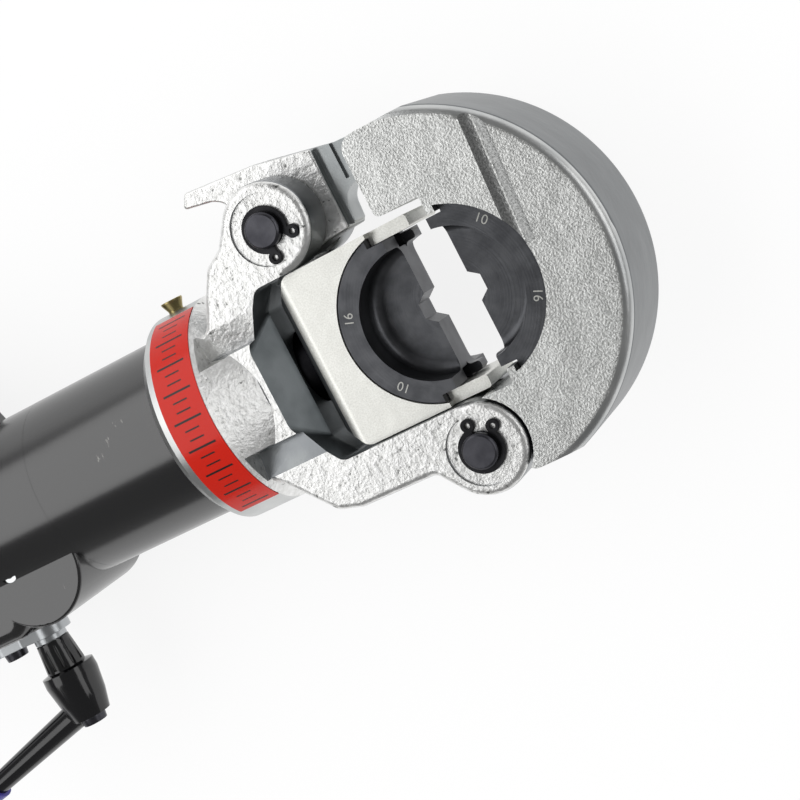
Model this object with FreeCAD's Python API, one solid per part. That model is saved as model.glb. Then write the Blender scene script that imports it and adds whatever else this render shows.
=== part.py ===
"""Manual hydraulic cable crimping tool with a flip-open latched head.

Units are millimetres. +X runs along the tool's axis towards the head, +Z is
the normal of the head's front face and +Y is the latch side. The origin is
the crimp centre: on the axis, half way between the two dies.
"""
import FreeCAD
import Part
import math
import os

V = FreeCAD.Vector

# Dies
DIE_R = 28.0            # outer radius of a die half
DIE_CENTRE = 5.2        # its arc's centre is this far from the crimp centre at rest
PARTING = 7.66          # a die's parting face is this far from the crimp centre at rest
RING_HALF = 17.6        # half thickness of the outer ring
WEB_HALF = 5.6          # half thickness of the pressing web
RING_IN = 21.0          # inner radius of the ring
EAR_IN = 20.9           # the guide ears' inner and outer distance from the axis
EAR_OUT = 23.9
EAR_LEN = 4.0           # how far an ear stands out of the parting face
FLANK = 24.2            # half width of a die beside its parting face
STEP_BACK = 5.2         # depth of the corner step, from the parting face
HEX_MOUTH = 4.8         # half width of the half-hexagon's mouth
HEX_FLOOR = 2.45        # half width of its floor
HEX_DEPTH = 3.2
CLOSED_GAP = 1.9        # web gap at full stroke, which makes the hexagon regular

# Ram travel from the rest pose of the photograph
RAM_OUT = 2 * PARTING - CLOSED_GAP
RAM_IN = 4.5            # further back it would meet the ledge in the window

# Ram block
BLOCK_HALF_Y = 28.6
BLOCK_HALF_Z = 18.0
BLOCK_REAR = -47.0
BLOCK_ROUND = 6.2       # its rear edges roll over on this radius, up to a sharp edge
BLOCK_ROLL = 5.7
BLOCK_FRONT = -11.8
HORN_IN = 24.5
HORN_TIP = 1.1
HORN_HALF_Z = 13.6

# Head casting
HEAD_HALF_Z = 22.5
WALL_Y = 29.0
PIN_Y = 43.4
EAR_R = 14.4
LATCH_X = -37.0
HINGE_X = -7.8
SLOT_HALF = 8.4         # half of the gap between two ears
WINDOW_REAR = -60.0
WINDOW_CORNER = (-49.2, 6.0, 4.0)   # x of the window's side corners, and the roundings
LEDGE_X = -52.4         # below this height the window's rear wall stands further in
LEDGE_Z = 13.6
LEDGE_Y = 21.0
LEDGE_SIDE = -46.6
FACET_IN = 15.0         # sloping facets part the middle pad from the two arms
FACET_OUT = 24.4
FACET_DEPTH = 2.3
SHOULDER_X = -74.5      # front of the collar's steep shoulder
COLLAR_R = 35.0
COLLAR_REAR = -94.9
COLLAR_FRONT = -75.2
SWIVEL_BORE_END = -78.5
PIN_R = 5.6
PIN_FIT = 0.05          # radial running fit of a pin in its holes
PIN_END = 25.5
SPOT_DEPTH = 0.8
CLIP_T = 1.2

# Yoke
YOKE_HALF_Z = 22.0
YOKE_R = 59.5
YOKE_X = -2.1
YOKE_TOP = 56.2
YOKE_LEFT = -4.4
YOKE_INNER = 31.0
YOKE_LOW = 29.6
LIP_X = 10.2
LIP_Y = 25.0
CREASE_X = 33.0         # a shallow crease across the yoke's two faces
CREASE_R = 9.0
CREASE_DEPTH = 0.7
KNUCKLE_R = 14.0
KNUCKLE_HALF = 8.0
EAR_CLEAR_R = 15.5
YOKE_END_DEG = -45.0    # the yoke's lower end, as an angle about the hinge
YOKE_END_Y = 55.4       # the yoke's rim is flattened here, below the hinge

# Latch
LATCH_HALF = 8.0
NECK_HALF = 4.6
HAMMER_HALF = 12.0
HAMMER_X0 = 6.3
HAMMER_X1 = 15.3
HAMMER_LOW = 49.6
HAMMER_TOP = 56.0
HUB_R = 13.4

# Cylinder
CYL_R = 30.0
BORE_R = 22.0
TUBE_FRONT = -79.0
TUBE_REAR = -146.0
GLAND_REAR = -99.0
GROOVE_X = -86.6
ROD_R = 12.0
PISTON_FRONT = -128.0
PISTON_REAR = -140.0
CHAMBER_REAR = -153.0
RUN = 0.05              # radial running fit of rod, piston and plunger

# Pump block
LUG_X = -166.5
LUG_Y = -17.0
LUG_R = 19.5
LUG_FACE = 24.0
PUMP_HALF_Y = 37.0
PUMP_HALF_Z = 24.0
PUMP_FRONT = -176.0
PUMP_REAR = -232.0
RELIEF_X = -173.0
RELIEF_Y = -15.5

# Pump handle
PIVOT_X = -192.0
PIVOT_Y = PUMP_HALF_Y + 15.0
PLUNGER_X = -210.0
PLUNGER_R = 6.0
GLAND_R = 9.0
GLAND_DEPTH = 7.0       # the plunger's gland sits this deep in the block, its seal below it
SEAL_DEPTH = 11.0
SLOT_DEG = 17.0         # the handle's slot is this far above level at rest
HANDLE_DEG = 42.0       # the handle's tube is this far above the axis at rest
HANDLE_LEN = 290.0
HANDLE_R = 11.0
GRIP_R = 15.0
PUMP_EAR_IN = 10.5
PUMP_EAR_OUT = 20.5

# Release valve
VALVE_X = -186.6
STEM_R = 4.0
KEEPER_T = 4.4          # the keeper plate under the block
KEEPER_SCREW_X = -202.0
SPACER_END = 6.4        # how far the valve's spacer stands out of the block
GLAND_SPACER_R = 5.8
HUB_FROM = 6.6          # the clamp lever starts this far from the block
HUB_END = 35.6
STEM_END = 23.0
ARM_AT = 32.0           # its arm leaves it here
ARM_LEN = 52.0
ARM_SLOPE = 15.3

# Fixed handle, which holds the oil
TANK_R = 18.0
TANK_WALL = 2.0
BLADDER_T = 1.6
TANK_REAR = -480.0
GRIP_WALL = 3.2
GRIP_LEN = 140.0
GRIP_RIB = 9.5          # pitch of the ribs on both grips
GRIP_GROOVE = 1.0       # depth of the grooves between them


# Quick release: a ball in the die's seat, held out by a pin that the button moves
BALL_R = 2.0
BALL_AT = DIE_R + 1.3
BALL_DEG = 35.0
BUTTON_R = 3.0
BUTTON_AT = BALL_AT + BALL_R + BUTTON_R + 0.1
BUTTON_TRAVEL = 4.2
BUTTON_SEAT = 8.5       # depth of the counterbore that holds the spring
WAIST_R = 1.4


def pt(x, y, radius, degrees):
    """A point on a circle about (x, y)."""
    a = math.radians(degrees)
    return (x + radius * math.cos(a), y + radius * math.sin(a))


def tangent_corner(x, y, radius, a1, a2):
    """Where the circle's tangents at two angles meet, kept as a rounded corner."""
    middle = (a1 + a2) / 2.0
    reach = radius / math.cos(math.radians(a1 - a2) / 2.0)
    px, py = pt(x, y, reach, middle)
    return (px, py, radius)


def tangent_angle(x, y, radius, px, py, side):
    """Angle of the point where a line from (px, py) touches the circle."""
    away = math.degrees(math.atan2(py - y, px - x))
    return away + side * math.degrees(math.acos(radius / math.hypot(px - x, py - y)))


def rounded_wire(corners, z):
    """A closed outline through (x, y, rounding) corners at height z."""
    edges = []
    arcs = []
    count = len(corners)
    for i in range(count):
        prev = corners[i - 1]
        here = corners[i]
        after = corners[(i + 1) % count]
        p = V(here[0], here[1], z)
        radius = here[2]
        to_prev = V(prev[0], prev[1], z).sub(p)
        to_next = V(after[0], after[1], z).sub(p)
        to_prev.normalize()
        to_next.normalize()
        angle = to_prev.getAngle(to_next)
        if radius <= 0 or angle > math.pi - 1e-4:
            arcs.append((p, None, p))
            continue
        reach = radius / math.tan(angle / 2.0)
        bisector = to_prev.add(to_next)
        bisector.normalize()
        centre = p.add(bisector.multiply(radius / math.sin(angle / 2.0)))
        start = p.add(V(to_prev).multiply(reach))
        end = p.add(V(to_next).multiply(reach))
        towards = p.sub(centre)
        towards.normalize()
        arcs.append((start, centre.add(towards.multiply(radius)), end))
    for i in range(count):
        start, middle, end = arcs[i]
        if middle is not None:
            edges.append(Part.Arc(start, middle, end).toShape())
        leave = end
        arrive = arcs[(i + 1) % count][0]
        if leave.distanceToPoint(arrive) > 1e-4:
            edges.append(Part.makeLine(leave, arrive))
    return Part.Wire(edges)


def prism(corners, z0, z1):
    """A plate with a rounded outline, from z0 to z1."""
    wire = rounded_wire([c if len(c) == 3 else (c[0], c[1], 0) for c in corners], z0)
    return Part.Face(wire).extrude(V(0, 0, z1 - z0))


def box(x0, x1, y0, y1, z0, z1):
    return Part.makeBox(x1 - x0, y1 - y0, z1 - z0, V(x0, y0, z0))


def rod_x(radius, x0, x1, y=0.0, z=0.0):
    return Part.makeCylinder(radius, x1 - x0, V(x0, y, z), V(1, 0, 0))


def rod_y(radius, y0, y1, x=0.0, z=0.0):
    return Part.makeCylinder(radius, y1 - y0, V(x, y0, z), V(0, 1, 0))


def rod_z(radius, z0, z1, x=0.0, y=0.0):
    return Part.makeCylinder(radius, z1 - z0, V(x, y, z0), V(0, 0, 1))


def turned(profile, base, axis):
    """A turned piece: (distance along, radius) points spun about an axis."""
    points = [V(r, 0, a) for a, r in profile]
    points.append(points[0])
    face = Part.Face(Part.makePolygon(points))
    solid = face.revolve(V(0, 0, 0), V(0, 0, 1), 360)
    turn = FreeCAD.Rotation(V(0, 0, 1), V(*axis))
    solid.Placement = FreeCAD.Placement(V(*base), turn)
    return solid


def fuse(shapes):
    return shapes[0].multiFuse(shapes[1:]).removeSplitter()


def cut(shape, tools):
    for tool in tools:
        shape = shape.cut(tool)
    return shape


def soften(shape, radius, wanted):
    """Round the edges that the test picks; the radius steps down if it must."""
    edges = [e for e in shape.Edges if wanted(e)]
    for scale in (1.0, 0.7, 0.4):
        try:
            done = shape.makeFillet(radius * scale, edges)
            if done.isValid() and done.Volume > 0:
                return done
        except Exception:
            continue
    return shape


def flat_at(z):
    """Test for edges that lie wholly at height +z or -z."""
    def test(edge):
        b = edge.BoundBox
        return abs(b.ZMax - b.ZMin) < 1e-4 and abs(abs(b.ZMax) - z) < 1e-4
    return test


def coil(mean_r, wire_r, length, turns, base, axis):
    """A coil spring whose outer ends stop at 0 and length along the axis."""
    rise = length - 2 * wire_r
    helix = Part.makeHelix(rise / turns, rise, mean_r)
    ring = Part.Wire([Part.makeCircle(wire_r, V(mean_r, 0, 0), V(0, 1, 0))])
    spring = Part.Wire(helix.Edges).makePipeShell([ring], True, True)
    spring = Part.Solid(spring) if spring.ShapeType == "Shell" else spring
    lift = FreeCAD.Placement(V(0, 0, wire_r), FreeCAD.Rotation())
    turn = FreeCAD.Placement(V(*base), FreeCAD.Rotation(V(0, 0, 1), V(*axis)))
    spring.Placement = turn.multiply(lift)
    return spring


nodes = {}


def make_die():
    """The lower die, in its place. The upper die is the same piece turned over."""
    cx = -DIE_CENTRE
    die = rod_z(DIE_R, -RING_HALF, RING_HALF, cx)
    die = soften(die, 0.6, flat_at(RING_HALF))
    die = die.cut(box(-PARTING, 40, -40, 40, -30, 30))
    step_x = -PARTING - STEP_BACK
    for side in (1, -1):
        recess = rod_z(RING_IN, WEB_HALF, RING_HALF + 2, cx)
        recess = soften(recess, 3.5, flat_at(WEB_HALF))
        if side < 0:
            recess.rotate(V(cx, 0, 0), V(1, 0, 0), 180)
        die = die.cut(recess)
        y0 = min(side * FLANK, side * 40)
        y1 = max(side * FLANK, side * 40)
        die = die.cut(box(step_x, 0, y0, y1, -30, 30))
        deep = HORN_TIP + RAM_OUT + 0.6
        die = die.cut(box(-deep, 0, y0, y1, -HORN_HALF_Z - 0.3, HORN_HALF_Z + 0.3))
    notch = [(-PARTING + 1, HEX_MOUTH), (-PARTING, HEX_MOUTH), (-PARTING - HEX_DEPTH, HEX_FLOOR)]
    notch = notch + [(x, -y) for x, y in reversed(notch)]
    die = die.cut(prism(notch, -30, 30))
    tip = -PARTING + EAR_LEN
    ear_corners = [(-9, EAR_OUT), (tip, EAR_OUT, 1.2), (tip, EAR_IN, 1.0),
                   (-PARTING, EAR_IN, 1.6), (-PARTING, EAR_IN - 2.4), (-9, EAR_IN - 2.4)]
    pocket_depth = EAR_LEN - CLOSED_GAP + 0.5
    for side in (1, -1):
        corners = [(c[0], side * c[1], c[2] if len(c) == 3 else 0) for c in ear_corners]
        die = die.fuse(prism(corners, -WEB_HALF, -0.2))
        y0 = min(side * (EAR_IN - 0.4), side * (EAR_OUT + 0.6))
        y1 = max(side * (EAR_IN - 0.4), side * (EAR_OUT + 0.6))
        die = die.cut(box(-PARTING - pocket_depth, -PARTING + 0.5, y0, y1, -0.1, WEB_HALF + 0.3))
    bx, by = pt(cx, 0, BALL_AT, 180 - BALL_DEG)
    die = die.cut(Part.makeSphere(BALL_R, V(bx, by, 0)))
    return die.removeSplitter()


def button_place(side):
    """Axis of a button: side -1 is in the ram block, +1 in the yoke."""
    angle = 180 - BALL_DEG if side < 0 else BALL_DEG
    return pt(side * DIE_CENTRE, 0, BUTTON_AT, angle)


def cut_button_seat(shape, side, back):
    """Bores for the button, its spring and the ball; back is the rear face's z."""
    x, y = button_place(side)
    angle = 180 - BALL_DEG if side < 0 else BALL_DEG
    ux = math.cos(math.radians(angle))
    uy = math.sin(math.radians(angle))
    shape = shape.cut(rod_z(BUTTON_R + RUN, back - 1, 9.5, x, y))
    shape = shape.cut(rod_z(5.6, back - 1, back + BUTTON_SEAT, x, y))
    hole = Part.makeCylinder(BALL_R, 7.0, V(x - 7.0 * ux, y - 7.0 * uy, 0), V(ux, uy, 0))
    return shape.cut(hole)


def make_button(side, back):
    x, y = button_place(side)
    cap = back - BUTTON_TRAVEL
    low = -BUTTON_TRAVEL - BALL_R - 0.4
    high = -BUTTON_TRAVEL + BALL_R + 0.2
    profile = [(cap, 0), (cap, 4.6), (cap + 0.6, 5.2), (back + 0.5, 5.2), (back + 0.5, BUTTON_R),
               (low - 1.0, BUTTON_R), (low, WAIST_R), (high - 0.6, WAIST_R), (high, BUTTON_R),
               (5.0, BUTTON_R), (5.0, 0)]
    return turned(profile, (x, y, 0), (0, 0, 1))


def make_button_spring(side, back):
    x, y = button_place(side)
    return coil(4.2, 0.45, BUTTON_SEAT - 0.6, 2.5, (x, y, back + 0.55), (0, 0, 1))


def make_ball(side):
    angle = 180 - BALL_DEG if side < 0 else BALL_DEG
    x, y = pt(side * DIE_CENTRE, 0, BALL_AT, angle)
    return Part.makeSphere(BALL_R, V(x, y, 0))


def make_clip(x, y, z0, towards, shaft_r, spread=28.0, reach=0.9):
    """External circlip with two drilled lugs, its gap facing an angle."""
    outer = shaft_r + 2.2
    ring = rod_z(outer, z0, z0 + CLIP_T, x, y).cut(rod_z(shaft_r, z0 - 1, z0 + CLIP_T + 1, x, y))
    wedge = [(x, y), pt(x, y, 30, towards - 24), pt(x, y, 30, towards), pt(x, y, 30, towards + 24)]
    ring = ring.cut(prism(wedge, z0 - 1, z0 + CLIP_T + 1))
    for step in (-spread, spread):
        lx, ly = pt(x, y, outer + reach, towards + step)
        ring = ring.fuse(rod_z(2.1, z0, z0 + CLIP_T, lx, ly))
    for step in (-spread, spread):
        lx, ly = pt(x, y, outer + reach, towards + step)
        ring = ring.cut(rod_z(0.9, z0 - 1, z0 + CLIP_T + 1, lx, ly))
    ring = ring.cut(rod_z(shaft_r, z0 - 1, z0 + CLIP_T + 1, x, y))
    return ring.removeSplitter()


def make_pin(x, y, radius, half, groove_z, groove_r):
    """A pin along Z with chamfered ends and a circlip groove near each end."""
    gap = CLIP_T
    half_profile = [(0, radius), (groove_z, radius), (groove_z, groove_r), (groove_z + gap, groove_r),
                    (groove_z + gap, radius), (half - 0.7, radius), (half, radius - 0.7)]
    lower = [(-a, r) for a, r in reversed(half_profile)]
    profile = [(-half, 0)] + lower + half_profile[1:] + [(half, 0)]
    return turned(profile, (x, y, 0), (0, 0, 1))


def make_head():
    """Fork, ears, window and collar in one casting."""
    hinge = (HINGE_X, -PIN_Y)
    latch = (LATCH_X, PIN_Y)
    away = -142.9
    shoulder = (-54.2, 44.6)
    left = tangent_angle(latch[0], latch[1], EAR_R, shoulder[0], shoulder[1], -1)
    start = tangent_corner(hinge[0], hinge[1], EAR_R, away, away)
    fx, fy = pt(start[0], start[1], 9.3, away - 90)
    outer = [tangent_corner(hinge[0], hinge[1], EAR_R, a1, a2) for a1, a2 in ((90, 0), (0, -90), (-90, away))]
    outer += [(fx, fy, 3.0), (-50.8, -44.3, 6.0), (-58.6, -42.0, 5.0), (-71.3, -27.0, 6.0), (-82.0, -20.0, 0)]
    outer += [(-82.0, 18.0, 0), (-69.7, 25.3, 6.0), (-65.3, 33.8, 6.0), (-60.5, 41.2, 5.0)]
    outer.append((shoulder[0], shoulder[1], 6.0))
    outer += [tangent_corner(latch[0], latch[1], EAR_R, a1, a2) for a1, a2 in ((left, 90), (90, 0), (0, -90))]
    # The cast outside has soft edges; the machined window keeps sharp ones
    inner = [(latch[0], WALL_Y, 0), (-48.0, 18.0, 0), (-48.0, -18.0, 0), (hinge[0], -WALL_Y, 0)]
    cast = prism(outer + inner, -HEAD_HALF_Z, HEAD_HALF_Z)
    cast = soften(cast, 2.2, flat_at(HEAD_HALF_Z))
    side, rear_r, side_r = WINDOW_CORNER
    ends = [(hinge[0], -WALL_Y, 0), (latch[0], WALL_Y, 0)]
    mouth = [(WINDOW_REAR, -13.5, rear_r), (side, -WALL_Y, side_r)] + ends
    mouth += [(side, WALL_Y, side_r), (WINDOW_REAR, 13.5, rear_r)]
    deep = [(LEDGE_X, -LEDGE_Y, 3.0), (LEDGE_SIDE, -WALL_Y, 2.0)] + ends
    deep += [(LEDGE_SIDE, WALL_Y, 2.0), (LEDGE_X, LEDGE_Y, 3.0)]
    fork = cast.cut(prism(deep, -HEAD_HALF_Z - 1, HEAD_HALF_Z + 1))
    # The window's rear wall slopes from the ledge to the mouth, front and back
    for up in (1, -1):
        wires = [rounded_wire(deep, up * LEDGE_Z), rounded_wire(mouth, up * HEAD_HALF_Z)]
        fork = fork.cut(Part.makeLoft(wires, True, True))
    collar = turned([(COLLAR_REAR, 0), (COLLAR_REAR, COLLAR_R - 2.8), (COLLAR_REAR + 2.8, COLLAR_R),
                     (COLLAR_FRONT, COLLAR_R), (SHOULDER_X, COLLAR_R - 0.8),
                     (WINDOW_REAR - 2.0, HEAD_HALF_Z + 0.5), (WINDOW_REAR - 2.0, 0)],
                    (0, 0, 0), (1, 0, 0))
    head = fork.fuse(collar)
    head = head.removeSplitter()
    # Sloping facets that part the middle pad from the two arms, front and back
    top = HEAD_HALF_Z
    section = [(FACET_OUT, top + 0.05), (FACET_IN + 0.8, top - FACET_DEPTH), (FACET_IN - 0.2, top + 1.5),
               (FACET_IN - 0.6, COLLAR_R + 5), (FACET_OUT, COLLAR_R + 5)]
    for side_y in (1, -1):
        for side_z in (1, -1):
            points = [V(SHOULDER_X + 0.3, side_y * y, side_z * z) for y, z in section]
            points.append(points[0])
            head = head.cut(Part.Face(Part.makePolygon(points)).extrude(V(30, 0, 0)))
    head = head.cut(rod_x(CYL_R + 0.3, COLLAR_REAR - 1, SWIVEL_BORE_END))
    head = head.cut(rod_x(ROD_R + 0.4, COLLAR_REAR, LEDGE_X + 1))
    # Slots between the ears
    head = head.cut(rod_z(KNUCKLE_R + 0.7, -SLOT_HALF, SLOT_HALF, hinge[0], hinge[1]))
    head = head.cut(rod_z(19.5, -SLOT_HALF, SLOT_HALF, latch[0], latch[1]))
    # Pin holes and the spot faces that the circlips sit on
    for x, y in (hinge, latch):
        head = head.cut(rod_z(PIN_R + PIN_FIT, -40, 40, x, y))
        for side in (1, -1):
            z0 = min(side * (HEAD_HALF_Z - SPOT_DEPTH), side * (HEAD_HALF_Z + 5))
            head = head.cut(rod_z(11.2, z0, z0 + 5 + SPOT_DEPTH, x, y))
    # Threaded hole of the collar screw, and a thin seat for the red band
    head = head.cut(rod_y(2.5, CYL_R, COLLAR_R + 2, GROOVE_X))
    return head


def make_yoke():
    """The flip-open jaw: a thick disc cut to a C with a forked latch end."""
    hx = HINGE_X
    hy = -PIN_Y
    disc = rod_z(YOKE_R, -YOKE_HALF_Z, YOKE_HALF_Z, YOKE_X)
    disc = soften(disc, 3.5, flat_at(YOKE_HALF_Z))
    run = (YOKE_END_Y + hy) / math.sin(math.radians(-YOKE_END_DEG))
    end = pt(hx, hy, run, YOKE_END_DEG)
    near = pt(hx, hy, 10, YOKE_END_DEG)
    corners = [(YOKE_LEFT, YOKE_INNER, 2.0), (YOKE_LEFT, YOKE_TOP, 5.0), (24.0, YOKE_TOP, 20.0), (70, 50, 0),
               (70, -YOKE_END_Y, 0), (end[0], end[1], 3.0), (near[0], near[1], 0), (near[0], -YOKE_LOW, 0),
               (LIP_X, -YOKE_LOW, 1.0), (LIP_X, YOKE_INNER, 1.0)]
    body = disc.common(prism(corners, -YOKE_HALF_Z, YOKE_HALF_Z))
    core = body.common(box(-80, 80, -80, 80, -KNUCKLE_HALF, KNUCKLE_HALF))
    body = body.cut(rod_z(EAR_CLEAR_R, -40, 40, hx, hy))
    knuckle = rod_z(KNUCKLE_R, -KNUCKLE_HALF, KNUCKLE_HALF, hx, hy)
    yoke = fuse([body, core, knuckle])
    yoke = yoke.cut(rod_z(DIE_R, -40, 40, DIE_CENTRE))
    step_x = PARTING + STEP_BACK
    for side in (1, -1):
        y0 = min(side * LIP_Y, side * 28.6)
        y1 = max(side * LIP_Y, side * 28.6)
        yoke = yoke.fuse(box(LIP_X, step_x - 0.2, y0, y1, -YOKE_HALF_Z, YOKE_HALF_Z))
    yoke = yoke.removeSplitter()
    for side in (1, -1):
        y0 = min(side * 20.0, side * (BLOCK_HALF_Y + 0.5))
        y1 = max(side * 20.0, side * (BLOCK_HALF_Y + 0.5))
        slot = box(LIP_X - 2, HORN_TIP + RAM_OUT + 0.6, y0, y1, -HORN_HALF_Z - 0.3, HORN_HALF_Z + 0.3)
        yoke = yoke.cut(slot)
    # Fork for the latch's neck, the lowered shoulders and the hammer's pocket
    yoke = yoke.cut(box(-10, HAMMER_X0, 40.0, 70, -NECK_HALF - 0.6, NECK_HALF + 0.6))
    half = HAMMER_HALF + 0.6
    yoke = yoke.cut(box(-10, HAMMER_X0, HAMMER_LOW - 0.4, 70, -half, half))
    yoke = yoke.cut(box(HAMMER_X0 - 0.3, HAMMER_X1 + 1.6, 44.6, 70, -half, half))
    yoke = yoke.cut(rod_z(PIN_R + PIN_FIT, -40, 40, hx, hy))
    lift = YOKE_HALF_Z + CREASE_R - CREASE_DEPTH
    for z in (lift, -lift):
        yoke = yoke.cut(Part.makeCylinder(CREASE_R, 60.0, V(CREASE_X - 0.6, 5.0, z), V(0.06, 1, 0)))
    return cut_button_seat(yoke, 1, -YOKE_HALF_Z)


def rolled_rear():
    """Side view of the ram block, whose rear edges roll over before they end."""
    rear = BLOCK_REAR
    top = BLOCK_HALF_Z
    middle = rear + BLOCK_ROLL
    edges = []
    ends = []
    for up in (1, -1):
        turn = math.degrees(math.asin(BLOCK_ROLL / BLOCK_ROUND))
        arc = [pt(middle, top - BLOCK_ROUND, BLOCK_ROUND, 90 + turn * share) for share in (0.0, 0.5, 1.0)]
        arc = [V(x, 0, up * z) for x, z in arc]
        edges.append(Part.Arc(arc[0], arc[1], arc[2]).toShape())
        ends.append((arc[0], arc[2]))
    front = [V(20, 0, top), V(20, 0, -top)]
    for a, b in ((ends[0][1], ends[1][1]), (ends[1][0], front[1]), (front[1], front[0]), (front[0], ends[0][0])):
        edges.append(Part.makeLine(a, b))
    face = Part.Face(Part.Wire(Part.__sortEdges__(edges)))
    side_view = face.extrude(V(0, 80, 0))
    side_view.translate(V(0, -40, 0))
    return side_view


def make_ram_block():
    rear = BLOCK_REAR
    hy = BLOCK_HALF_Y
    corners = [(BLOCK_FRONT, -hy, 0), (BLOCK_FRONT, hy, 0), (-41.2, hy, 4.0), (rear, 20.5, 4.0),
               (rear, -20.5, 4.0), (-41.2, -hy, 4.0)]
    block = prism(corners, -BLOCK_HALF_Z, BLOCK_HALF_Z)
    block = block.common(rolled_rear())
    block = block.cut(rod_z(DIE_R, -40, 40, -DIE_CENTRE))
    horn_rear = -PARTING - STEP_BACK + 0.26
    for side in (1, -1):
        y0 = min(side * HORN_IN, side * hy)
        y1 = max(side * HORN_IN, side * hy)
        horn = box(horn_rear, HORN_TIP, y0, y1, -HORN_HALF_Z, HORN_HALF_Z)

        def tip(edge):
            return edge.BoundBox.XMin > HORN_TIP - 0.01 and edge.BoundBox.ZMax - edge.BoundBox.ZMin > 5
        block = block.fuse(soften(horn, 1.0, tip))
    block = block.removeSplitter()
    block = block.cut(rod_x(8.0, rear - 1, -38.5))
    return cut_button_seat(block, -1, -BLOCK_HALF_Z)


def make_latch():
    cx = LATCH_X
    cy = PIN_Y
    wide = [(-64.6, 61.0, 1.0), (-61.8, 65.4, 1.5), (-37.5, 62.9, 8.0), (-18.2, 58.7, 0.6), (-18.2, 32.5, 1.0),
            (-27.0, 32.0, 2.0), (cx + 1.0, cy - HUB_R, 0), tangent_corner(cx, cy, HUB_R, -90, -180),
            (cx - HUB_R, 56.6, 5.0), (-54.5, 59.0, 6.0)]
    body = prism(wide, -LATCH_HALF, LATCH_HALF)
    body = soften(body, 0.8, flat_at(LATCH_HALF))
    neck = [(-22, 33.2, 0), (-16.8, 33.2, 0.8), (-16.0, 44.0, 6.0), (HAMMER_X0 - 0.3, 44.0, 1.0),
            (HAMMER_X0 - 0.3, HAMMER_LOW + 0.8, 0), (HAMMER_X0 + 2, HAMMER_LOW + 0.8, 0),
            (HAMMER_X0 + 2, HAMMER_TOP, 0), (-11.6, 57.4, 8.0), (-22, 59.4, 0)]
    body = body.fuse(prism(neck, -NECK_HALF, NECK_HALF))
    hammer = box(HAMMER_X0, HAMMER_X1, HAMMER_LOW, HAMMER_TOP, -HAMMER_HALF, HAMMER_HALF)
    hammer = soften(hammer, 0.8, lambda e: True)
    body = body.fuse(hammer)
    body = body.removeSplitter()
    # Groove on each side of the neck, and the long slot on the lever's back
    for z0 in (NECK_HALF - 1.4, -NECK_HALF - 1):
        body = body.cut(box(-13.2, -11.4, 46.0, 70, z0, z0 + 2.4))
    body = body.cut(box(-56.0, -26.0, 61.0, 70, -2.2, 2.2))
    body = body.cut(rod_z(PIN_R + PIN_FIT, -40, 40, cx, cy))
    return body.cut(rod_z(8.6, -LATCH_HALF - 1, -3.0, cx, cy))


def make_pump_block():
    block = prism([(PUMP_REAR, -PUMP_HALF_Y, 8.0), (PUMP_REAR, PUMP_HALF_Y, 10.0), (PUMP_FRONT, PUMP_HALF_Y, 12.0),
                   (PUMP_FRONT, -PUMP_HALF_Y, 8.0)], -PUMP_HALF_Z, PUMP_HALF_Z)
    block = soften(block, 5.0, flat_at(PUMP_HALF_Z))
    neck = turned([(TUBE_REAR, 0), (TUBE_REAR, CYL_R), (-196.0, CYL_R), (-206.0, 20.0), (-206.0, 0)],
                  (0, 0, 0), (1, 0, 0))
    lug = rod_z(LUG_R, -LUG_FACE, LUG_FACE, LUG_X, LUG_Y)
    lug = soften(lug, 1.2, flat_at(LUG_FACE))
    shoulder = prism([(-200, -PUMP_HALF_Y, 0), (-200, -10, 0), (LUG_X, -10, 0), (LUG_X - 9, -PUMP_HALF_Y, 4)],
                     -14, 14)
    ear = prism([(PIVOT_X - 11, PUMP_HALF_Y - 8), (PIVOT_X + 18, PUMP_HALF_Y - 8), (PIVOT_X + 11, PIVOT_Y, 0),
                 (PIVOT_X - 11, PIVOT_Y, 0)], -PUMP_EAR_OUT, PUMP_EAR_OUT)
    boss = rod_z(11.0, -PUMP_EAR_OUT, PUMP_EAR_OUT, PIVOT_X, PIVOT_Y)
    pieces = [block, neck, lug, shoulder, ear, boss]
    block = fuse(pieces)
    block = block.cut(box(-260, -140, PUMP_HALF_Y, 90, -PUMP_EAR_IN, PUMP_EAR_IN))
    block = block.cut(rod_z(4.0, -40, 40, PIVOT_X, PIVOT_Y))
    block = block.cut(rod_x(BORE_R, CHAMBER_REAR, TUBE_REAR + 1))
    # Plunger bore with its gland seat
    block = block.cut(rod_y(PLUNGER_R + RUN, 2.0, 60, PLUNGER_X))
    block = block.cut(rod_y(GLAND_R, PUMP_HALF_Y - SEAL_DEPTH, 60, PLUNGER_X))
    # Outlet: plunger, check ball and spring, then the cylinder
    block = block.cut(rod_x(1.8, PLUNGER_X, CHAMBER_REAR + 1, 6.0))
    block = block.cut(rod_x(3.7, -200.0, -180.0, 6.0))
    # Inlet: the tank, check ball, then the plunger
    block = block.cut(rod_x(1.8, PUMP_REAR - 1, PLUNGER_X, 10.0))
    block = block.cut(rod_x(3.7, -226.0, -219.0, 10.0))
    # Release and relief passages back to the tank
    block = block.cut(rod_x(1.8, PUMP_REAR - 1, RELIEF_X, -15.5))
    block = block.cut(rod_y(1.8, -16.0, 6.0, VALVE_X))
    block = block.cut(rod_y(STEM_R + 0.3, -PUMP_HALF_Y - 1, -9.0, VALVE_X))
    block = block.cut(rod_z(2.9, -4.0, LUG_FACE + 1, RELIEF_X, RELIEF_Y))
    block = block.cut(rod_y(1.5, RELIEF_Y, 6.0, RELIEF_X, -3.0))
    # Threaded seats for the tank and the keeper's screw
    block = block.cut(rod_x(TANK_R, PUMP_REAR - 1, PUMP_REAR + 6))
    block = block.cut(rod_y(2.0, -PUMP_HALF_Y - 1, -PUMP_HALF_Y + 7.0, KEEPER_SCREW_X))
    return block


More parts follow.
